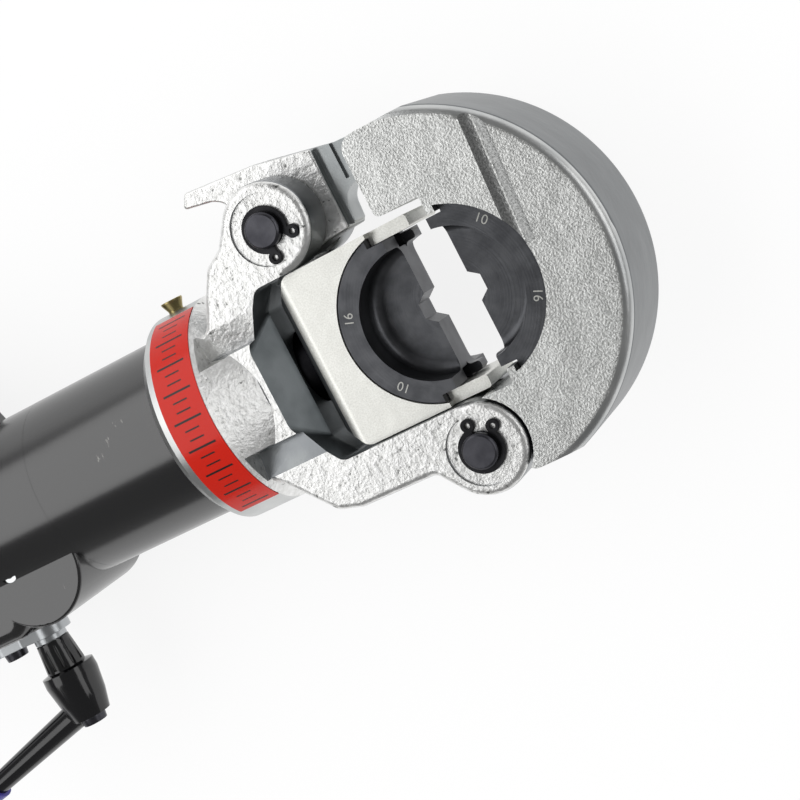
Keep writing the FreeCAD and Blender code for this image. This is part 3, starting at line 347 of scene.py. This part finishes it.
def black_gloss_paint():
    """Baked and polished black paint: it mirrors the lamps as grey bands, with pale scuffs."""
    material, tree, shader = start_material("paint_gloss_black", Roughness=0.18, IOR=1.85)
    place = add_node(tree, "ShaderNodeTexCoord").outputs["Object"]
    marks = pattern(tree, 1.4, 6.0, (1.0, 0.5, 0.5))
    nearest = None
    for spot, reach in SCUFFS:
        centre = tuple(c * MM for c in spot)
        away = add_node(tree, "ShaderNodeVectorMath", {0: place, 1: centre},
                        operation="DISTANCE").outputs["Value"]
        near = add_node(tree, "ShaderNodeMapRange",
                        {0: away, 1: 0.0, 2: reach * MM, 3: SCUFFED, 4: UNSCUFFED}).outputs[0]
        if nearest is not None:
            near = add_node(tree, "ShaderNodeMath", {0: nearest, 1: near},
                            operation="MAXIMUM").outputs[0]
        nearest = near
    both = add_node(tree, "ShaderNodeMath", {0: marks, 1: nearest}, operation="ADD").outputs[0]
    tone(tree, shader, both, [(0.66, "#101011"), (0.74, "#7C7B76")])
    relief(tree, shader, [(pattern(tree, 7.0), 0.06, 0.3)])
    return material


def plain(name, colour, metallic, roughness, **more):
    """A finish with one even colour."""
    return start_material(name, Base_Color=to_linear(colour), Metallic=metallic,
                          Roughness=roughness, **more)[0]


def moulded_plastic(name, colour, roughness):
    """Injection moulded plastic: one even colour under a fine spark texture."""
    material, tree, shader = start_material(name, Base_Color=to_linear(colour),
                                            Roughness=roughness, IOR=1.5)
    relief(tree, shader, [(pattern(tree, 0.6), 0.04, 0.4)])
    return material


def dress(names, material, rounding):
    """Gives nodes a finish and breaks their sharp edges by so many millimetres."""
    for name in names:
        node = NODES[name]
        node.data.materials.clear()
        node.data.materials.append(material)
        for polygon in node.data.polygons:
            polygon.material_index = 0
        node.data.shade_smooth()
        node.data.set_sharp_from_angle(angle=SHARP)
        if rounding:
            weld = node.modifiers.new("weld", "WELD")
            weld.merge_threshold = SEAM * MM
            join = node.modifiers.new("flats", "DECIMATE")
            join.decimate_type = "DISSOLVE"
            join.angle_limit = FLAT
            join.delimit = {"MATERIAL"}
            bevel = node.modifiers.new("edges", "BEVEL")
            bevel.width = rounding * MM
            bevel.segments = 2
            bevel.limit_method = "ANGLE"
            bevel.angle_limit = SHARP
            even = node.modifiers.new("even_shading", "WEIGHTED_NORMAL")
            even.keep_sharp = True


def repaint(name, material, wanted):
    """Gives another finish to the faces of a node whose centre and normal pass the test."""
    node = NODES[name]
    node.data.materials.append(material)
    index = len(node.data.materials) - 1
    for polygon in node.data.polygons:
        if wanted(polygon.center / MM, polygon.normal):
            polygon.material_index = index


def link(piece):
    """Puts a new object into the scene."""
    bpy.context.scene.collection.objects.link(piece)
    return piece


def add_mesh(name, vertices, faces, material):
    """A new mesh object, given in millimetres."""
    mesh = bpy.data.meshes.new(name)
    mesh.from_pydata([tuple(c * MM for c in v) for v in vertices], [], faces)
    mesh.validate()
    mesh.update()
    mesh.materials.append(material)
    return link(bpy.data.objects.new(name, mesh))


class CrimpToolLook(bpy.types.PropertyGroup):
    """Sizes and strengths that a user would change."""

    edge: bpy.props.FloatProperty(
        name="Edge rounding", description="How far sharp edges are broken, in mm",
        default=0.3, min=0.05, max=1.0)
    number_height: bpy.props.FloatProperty(
        name="Number height", description="Height of the die numbers, in mm",
        default=2.9, min=1.0, max=6.0)
    tick_step: bpy.props.FloatProperty(
        name="Tick step", description="Angle between two ticks of the swivel's scale",
        default=5.0, min=2.0, max=30.0)
    band_colour: bpy.props.FloatVectorProperty(
        name="Band colour", description="Colour of the band on the collar",
        subtype="COLOR", size=4, default=to_linear("#BE1E0E"), min=0.0, max=1.0)
    softbox: bpy.props.FloatProperty(
        name="Softboxes", description="How bright the two softboxes are",
        default=1.0, min=0.0, max=10.0, subtype="FACTOR")
    fill: bpy.props.FloatProperty(
        name="Fill", description="Even light from all round, where 1 is white",
        default=0.78, min=0.0, max=2.0)
    ceiling: bpy.props.FloatProperty(
        name="Ceiling", description="How bright gloss sees the sky overhead",
        default=0.18, min=0.0, max=1.0)
    flag: bpy.props.FloatProperty(
        name="Flag", description="How bright gloss sees the horizon below the tool",
        default=0.25, min=0.0, max=1.0)


class CRIMP_OT_jaws(bpy.types.Operator):
    """Finish the forged yoke, the head casting, the ram block and the latch"""

    bl_idname = "crimp.jaws"
    bl_label = "Jaws and head"

    def execute(self, context):
        edge = context.scene.crimp_tool_look.edge
        forged = blasted_forged_steel("forged_steel_blasted", "#BBBCBA", "#E9EAE8")
        crease_painted_shade = blasted_forged_steel("forged_steel_crease_painted_shade", "#828382", "#ABACAB")
        side_painted_shade = plated_side_painted_shade("cast_steel_side_painted_shade", "#84878A", "#9B9E9F")
        outer_side_painted_shade = plated_side_painted_shade("forged_steel_side_painted_shade", "#65686A", "#6D7072")
        cast = blasted_cast_steel()
        rim = plated_rim()
        milled = milled_steel()
        dress(["yoke"], forged, edge)
        repaint("yoke", rim, lambda c, n: abs(n.z) < RIM_SLOPE and off_axis(c, YOKE_X) > RIM_R)
        # Painted shade: the yoke's outer sides are dark grey
        repaint("yoke", outer_side_painted_shade,
                lambda c, n: abs(n.z) < SIDE and off_axis(c, YOKE_X) > YOKE_OUTER_R)
        repaint("yoke", milled,
                lambda c, n: abs(n.z) < SEAT_SLOPE and off_axis(c, DIE_CENTRE) < DIE_SEAT_R)
        # Painted shade: a darker copy of the blasted finish lies in the shallow valley across each
        # face
        repaint("yoke", crease_painted_shade,
                lambda c, n: within(abs(n.z), CREASE_SLOPE) and within(c.x, CREASE_X)
                and c.y > CREASE_Y and off_axis(c, YOKE_X) < CREASE_R)
        dress(["head_casting"], cast, edge)
        # Painted shade: the casting's sides past the fork are darker than its face
        repaint("head_casting", side_painted_shade, lambda c, n: abs(n.z) < SIDE and c.x > FORK_X)
        repaint("head_casting", rim, lambda c, n: c.x < COLLAR_X)
        # Painted shade: the lower one of the sloping facets behind the window gets the darker side
        # finish
        repaint("head_casting", side_painted_shade,
                lambda c, n: c.x < FACET_X and within(c.y, FACET_Y)
                and within(abs(n.z), FACET_SLOPE))
        # Painted shade: the sides of the window's slot are dark grey
        repaint("head_casting", slot_side_painted_shade(),
                lambda c, n: abs(n.z) < WINDOW_SLOPE and within(c.y, WINDOW_Y)
                and within(c.x, WINDOW_X))
        dress(["ram_block"], bead_blasted_steel(), edge * 0.7)
        # Painted shade: the ram block's rolled back is darker than its face
        repaint("ram_block", side_painted_shade, lambda c, n: n.x < BLOCK_BACK_SLOPE)
        dress(["latch_lever"], cast, edge)
        # Painted shade: the latch's sides are darker than its face
        repaint("latch_lever", side_painted_shade, lambda c, n: abs(n.z) < SIDE)
        repaint("latch_lever", milled, lambda c, n: c.x > HAMMER_X or n.x > HAMMER_SLOPE)
        return {"FINISHED"}


class CRIMP_OT_dies(bpy.types.Operator):
    """Finish the two dies and stamp plain numbers on their rings"""

    bl_idname = "crimp.dies"
    bl_label = "Dies"

    def execute(self, context):
        look = context.scene.crimp_tool_look
        dress(["upper_die", "lower_die"], turned_black_oxide(), look.edge)
        ink = plain("number_engraving", "#A9A9A4", metallic=0.0, roughness=0.6)
        for name, text, side, angle in NUMBERS:
            self.number(name, text, side, math.radians(angle), look.number_height, ink)
        return {"FINISHED"}

    def number(self, name, text, side, angle, height, ink):
        """A plain number whose top points away from the die's centre."""
        curve = bpy.data.curves.new("number", "FONT")
        curve.body = text
        curve.size = height * MM * FONT_SIZE_PER_HEIGHT
        curve.align_x = "CENTER"
        curve.align_y = "CENTER"
        curve.extrude = NUMBER_HALF_THICKNESS * MM
        curve.offset = -NUMBER_THINNED * MM
        written = link(bpy.data.objects.new("number", curve))
        bpy.context.view_layer.update()
        shown = written.evaluated_get(bpy.context.evaluated_depsgraph_get())
        mesh = bpy.data.meshes.new_from_object(shown)
        bpy.data.objects.remove(written)
        at = Vector((side * DIE_CENTRE + NUMBER_REACH * math.cos(angle),
                     NUMBER_REACH * math.sin(angle), FRONT_OF_RING + PRINT_LIFT)) * MM
        mesh.transform(Matrix.Translation(at) @ Matrix.Rotation(angle - math.pi / 2.0, 4, "Z"))
        mesh.materials.clear()
        mesh.materials.append(ink)
        piece = link(bpy.data.objects.new("number_" + name, mesh))
        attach(piece, "yoke" if side > 0 else "ram")


class CRIMP_OT_pins(bpy.types.Operator):
    """Finish the pins, circlips, buttons and screws"""

    bl_idname = "crimp.pins"
    bl_label = "Pins and clips"

    def execute(self, context):
        pin = black_oxide("pin_black_oxide", "#434348", "#525257", roughness=0.33)
        clip = black_oxide("clip_phosphated", "#29292B", "#343436", roughness=0.42)
        bright = plain("screw_zinc_bright", "#D2D4D5", metallic=1.0, roughness=0.25)
        dress(["latch_pin", "hinge_pin", "handle_pin"], pin, rounding=0.15)
        dress(["latch_clip_front", "latch_clip_back", "hinge_clip_front", "hinge_clip_back",
               "handle_clip_front", "handle_clip_back"], clip, rounding=0.12)
        dress(["ram_button", "yoke_button", "keeper_screw", "release_screw"], pin, rounding=0.15)
        dress(["relief_screw"], bright, rounding=0.15)
        return {"FINISHED"}


class CRIMP_OT_collar(bpy.types.Operator):
    """Finish the swivel collar's red band, its plain scale and its screw"""

    bl_idname = "crimp.collar"
    bl_label = "Collar"

    def execute(self, context):
        look = context.scene.crimp_tool_look
        film = start_material("film_red_gloss", Base_Color=look.band_colour, Roughness=0.2,
                              IOR=1.35)[0]
        zinc = plain("screw_yellow_zinc", "#A8996A", metallic=1.0, roughness=0.3)
        dress(["label_band"], film, rounding=0.0)
        dress(["collar_screw"], zinc, rounding=0.15)
        self.ticks(look.tick_step, plain("print_black", "#141414", metallic=0.0, roughness=0.4))
        return {"FINISHED"}

    def ticks(self, step, ink):
        """A plain angle scale printed along the band."""
        vertices = []
        faces = []
        radius = BAND_R + PRINT_LIFT
        middle = (BAND_LOW.x + BAND_HIGH.x) / 2.0
        steps = int((BAND_TO - BAND_FROM - 2.0 * SCALE_MARGIN) / step)
        for i in range(steps + 1):
            centre = BAND_FROM + SCALE_MARGIN + i * step
            half, wide = SHORT_TICK if i % TICKS_PER_LONG else LONG_TICK
            first = len(vertices)
            for j in range(3):
                a = math.radians(centre + wide * (j - 1))
                for x in (middle - half, middle + half):
                    vertices.append((x, radius * math.sin(a), radius * math.cos(a)))
            faces += [(first, first + 1, first + 3, first + 2),
                      (first + 2, first + 3, first + 5, first + 4)]
        scale = add_mesh("band_scale", vertices, faces, ink)
        scale.data.shade_smooth()
        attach(scale, "head")


class CRIMP_OT_pump(bpy.types.Operator):
    """Finish the cylinder, the pump block and the two tubes"""

    bl_idname = "crimp.pump"
    bl_label = "Cylinder and pump"

    def execute(self, context):
        edge = context.scene.crimp_tool_look.edge
        paint = black_gloss_paint()
        zinc = plain("plate_zinc", "#B4B7B9", metallic=1.0, roughness=0.32)
        nylon = moulded_plastic("cap_nylon_black", "#18181A", roughness=0.45)
        dress(["handle_root", "handle_tube", "reservoir_tube"], paint, edge)
        dress(["cylinder_tube", "pump_block"], paint, rounding=0.08)
        dress(["keeper_plate", "valve_gland", "filler_plug"], zinc, rounding=0.2)
        dress(["reservoir_cap", "handle_cap"], nylon, rounding=0.3)
        return {"FINISHED"}


class CRIMP_OT_release(bpy.types.Operator):
    """Finish the release lever and its stem"""

    bl_idname = "crimp.release"
    bl_label = "Release lever"

    def execute(self, context):
        enamel = plain("lever_black_enamel", "#0B0B0D", metallic=0.0, roughness=0.12, IOR=1.6)
        ground = plain("steel_ground", "#B9BBBD", metallic=1.0, roughness=0.22)
        vinyl = moulded_plastic("sleeve_vinyl_violet", VIOLET, roughness=0.4)
        dress(["release_hub"], enamel, rounding=0.25)
        dress(["release_stem"], ground, rounding=0.1)
        dress(["lever_sleeve"], vinyl, rounding=0.2)
        return {"FINISHED"}


class CRIMP_OT_grips(bpy.types.Operator):
    """Finish the ribbed grips of the fixed and the moving handle"""

    bl_idname = "crimp.grips"
    bl_label = "Grips"

    def execute(self, context):
        vinyl = moulded_plastic("grip_vinyl_violet", VIOLET, roughness=0.42)
        dress(["handle_grip", "fixed_grip"], vinyl, rounding=0.35)
        return {"FINISHED"}


class CRIMP_OT_inner(bpy.types.Operator):
    """Finish the pieces inside: rod, plunger, balls, springs and seals"""

    bl_idname = "crimp.inner"
    bl_label = "Inner pieces"

    def execute(self, context):
        ground = plain("steel_ground_bright", "#C2C4C6", metallic=1.0, roughness=0.2)
        # Painted shade: the rod is near black, so that the gap behind the ram block looks deep
        rod_shade = black_oxide("rod_painted_shade", "#141416", "#1C1C1E", roughness=0.45)
        wire = plain("spring_wire", "#7A7B7D", metallic=1.0, roughness=0.35)
        rubber = plain("nitrile_rubber", "#171717", metallic=0.0, roughness=0.6, IOR=1.5)
        dress(["plunger", "plunger_pin", "plunger_gland"], ground, rounding=0.15)
        dress(["piston", "rod_gland"], rod_shade, rounding=0.15)
        dress(["inlet_ball", "outlet_ball", "relief_ball", "ram_ball", "yoke_ball"], ground,
              rounding=0.0)
        dress(["latch_spring", "outlet_spring", "relief_spring"], wire, rounding=0.0)
        for name, body, joint, axis, travel in SPRINGS:
            self.spring(name, body, joint, axis, travel, wire)
        dress(["rod_seal", "plunger_seal", "piston_seal", "oil_bladder"], rubber, rounding=0.0)
        return {"FINISHED"}

    def spring(self, name, body, joint, axis, travel, wire):
        """Shows a spring as a copy of its node that rides with its body, in place of the node."""
        node = NODES[name]
        mesh = node.data.copy()
        mesh.transform(node.matrix_world)
        mesh.materials.clear()
        mesh.materials.append(wire)
        mesh.shade_smooth()
        piece = link(bpy.data.objects.new(name + "_coil", mesh))
        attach(piece, body)
        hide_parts(name)
        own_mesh(piece)


class CRIMP_OT_studio(bpy.types.Operator):
    """Make the floor, the soft light and the camera"""

    bl_idname = "crimp.studio"
    bl_label = "Studio"

    def execute(self, context):
        look = context.scene.crimp_tool_look
        self.floor()
        self.world(look)
        for name, at, length, width, bright in SOFTBOXES:
            self.lamp(name, at, length, width, bright * look.softbox)
        self.camera()
        return {"FINISHED"}

    def is_ray(self, tree, *kinds):
        """One where a ray is of any of these kinds, and zero elsewhere."""
        path = add_node(tree, "ShaderNodeLightPath")
        found = path.outputs[kinds[0]]
        for kind in kinds[1:]:
            found = add_node(tree, "ShaderNodeMath", {0: found, 1: path.outputs[kind]},
                             operation="MAXIMUM").outputs[0]
        return found

    def floor(self):
        """A white floor: plain white to the camera, gloss and glass but for the tool's shadow."""
        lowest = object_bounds()[0].z / MM
        material, tree, shader = start_material("paper_white", Base_Color=to_linear("#F6F6F6"),
                                                Roughness=0.8)
        glow = add_node(tree, "ShaderNodeEmission", {"Color": WHITE, "Strength": 1.0})
        shown = self.is_ray(tree, "Is Camera Ray", "Is Glossy Ray", "Is Transmission Ray")
        share = add_node(tree, "ShaderNodeMath", {0: shown, 1: FLOOR_WHITE}, operation="MULTIPLY")
        mix = add_node(tree, "ShaderNodeMixShader",
                       {0: share.outputs[0], 1: shader.outputs["BSDF"], 2: glow.outputs[0]})
        out = next(n for n in tree.nodes if n.type == "OUTPUT_MATERIAL")
        tree.links.new(mix.outputs["Shader"], out.inputs["Surface"])
        corners = [(x * FLOOR_HALF, y * FLOOR_HALF, lowest)
                   for x, y in ((-1, -1), (1, -1), (1, 1), (-1, 1))]
        plane = add_mesh("floor", corners, [(0, 1, 2, 3)], material)
        plane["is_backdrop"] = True

    def world(self, look):
        """White for the camera; gloss sees white at the horizon and a dim ceiling above."""
        world = bpy.data.worlds.new("studio")
        bpy.context.scene.world = world
        world.use_nodes = True
        tree = world.node_tree
        tree.nodes.clear()
        way = add_node(tree, "ShaderNodeTexCoord").outputs["Generated"]
        height = add_node(tree, "ShaderNodeSeparateXYZ", {0: way}).outputs["Z"]
        side = add_node(tree, "ShaderNodeVectorMath", {0: way, 1: LIT_SIDE},
                        operation="DOT_PRODUCT").outputs["Value"]
        horizon = self.fade(tree, side, FLAG_RANGE, look.flag, 1.0)
        sky = self.fade(tree, height, CEILING_RANGE, horizon, look.ceiling)
        gloss, white, soft = (
            add_node(tree, "ShaderNodeBackground", {"Color": WHITE, "Strength": glow}).outputs[0]
            for glow in (sky, 1.0, look.fill))
        first = add_node(tree, "ShaderNodeMixShader",
                         {0: self.is_ray(tree, "Is Glossy Ray"), 1: soft, 2: gloss}).outputs[0]
        clear = self.is_ray(tree, "Is Camera Ray", "Is Transmission Ray")
        mix = add_node(tree, "ShaderNodeMixShader", {0: clear, 1: first, 2: white}).outputs[0]
        add_node(tree, "ShaderNodeOutputWorld", {"Surface": mix})

    def fade(self, tree, value, span, start, end):
        """A smooth change from start to end while the value crosses the span."""
        return add_node(tree, "ShaderNodeMapRange",
                        {0: value, 1: span[0], 2: span[1], 3: start, 4: end},
                        interpolation_type="SMOOTHSTEP").outputs[0]

    def lamp(self, name, at, length, width, bright):
        """A softbox that faces the tool, long across it, and looks this bright, 1 being white."""
        data = bpy.data.lights.new(name, "AREA")
        data.shape = "RECTANGLE"
        data.size = width
        data.size_y = length
        data.energy = bright * math.pi * width * length
        lamp = link(bpy.data.objects.new(name, data))
        back = Vector(at).normalized()
        along = (Vector((0.0, 1.0, 0.0)) - back * back.y).normalized()
        turn = Matrix([along.cross(back), along, back]).transposed()
        lamp.matrix_world = Matrix.Translation(at) @ turn.to_4x4()

    def camera(self):
        """The photograph's own view."""
        data = bpy.data.cameras.new("camera")
        data.sensor_width = CAMERA_SENSOR
        data.lens = CAMERA_LENS
        data.clip_start, data.clip_end = CAMERA_CLIP_M
        camera = link(bpy.data.objects.new("camera", data))
        turn = Matrix([CAMERA_RIGHT, CAMERA_UP, CAMERA_BACK]).transposed()
        camera.matrix_world = Matrix.Translation(Vector(CAMERA_AT) * MM) @ turn.to_4x4()
        bpy.context.scene.camera = camera
        bpy.context.scene.view_settings.view_transform = "Standard"


class CRIMP_PT_panel(bpy.types.Panel):
    """Lists the tool's pieces and the sizes behind them"""

    bl_label = "Crimping Tool"
    bl_idname = "CRIMP_PT_panel"
    bl_space_type = "VIEW_3D"
    bl_region_type = "UI"
    bl_category = "Crimping Tool"

    def draw(self, context):
        look = context.scene.crimp_tool_look
        for name in ("edge", "number_height", "tick_step", "band_colour", "softbox", "fill",
                     "ceiling", "flag"):
            self.layout.prop(look, name)
        for operator in OPERATORS:
            self.layout.operator(operator.bl_idname)


OPERATORS = (CRIMP_OT_jaws, CRIMP_OT_dies, CRIMP_OT_pins, CRIMP_OT_collar, CRIMP_OT_pump,
             CRIMP_OT_release, CRIMP_OT_grips, CRIMP_OT_inner, CRIMP_OT_studio)
CLASSES = (CrimpToolLook,) + OPERATORS + (CRIMP_PT_panel,)


def register():
    for entry in CLASSES:
        bpy.utils.register_class(entry)
    bpy.types.Scene.crimp_tool_look = bpy.props.PointerProperty(type=CrimpToolLook)


def unregister():
    del bpy.types.Scene.crimp_tool_look
    for entry in reversed(CLASSES):
        bpy.utils.unregister_class(entry)


def main():
    register()
    bpy.ops.crimp.jaws()
    bpy.ops.crimp.dies()
    bpy.ops.crimp.pins()
    bpy.ops.crimp.collar()
    bpy.ops.crimp.pump()
    bpy.ops.crimp.release()
    bpy.ops.crimp.grips()
    bpy.ops.crimp.inner()
    bpy.ops.crimp.studio()


if __name__ == "__main__":
    main()
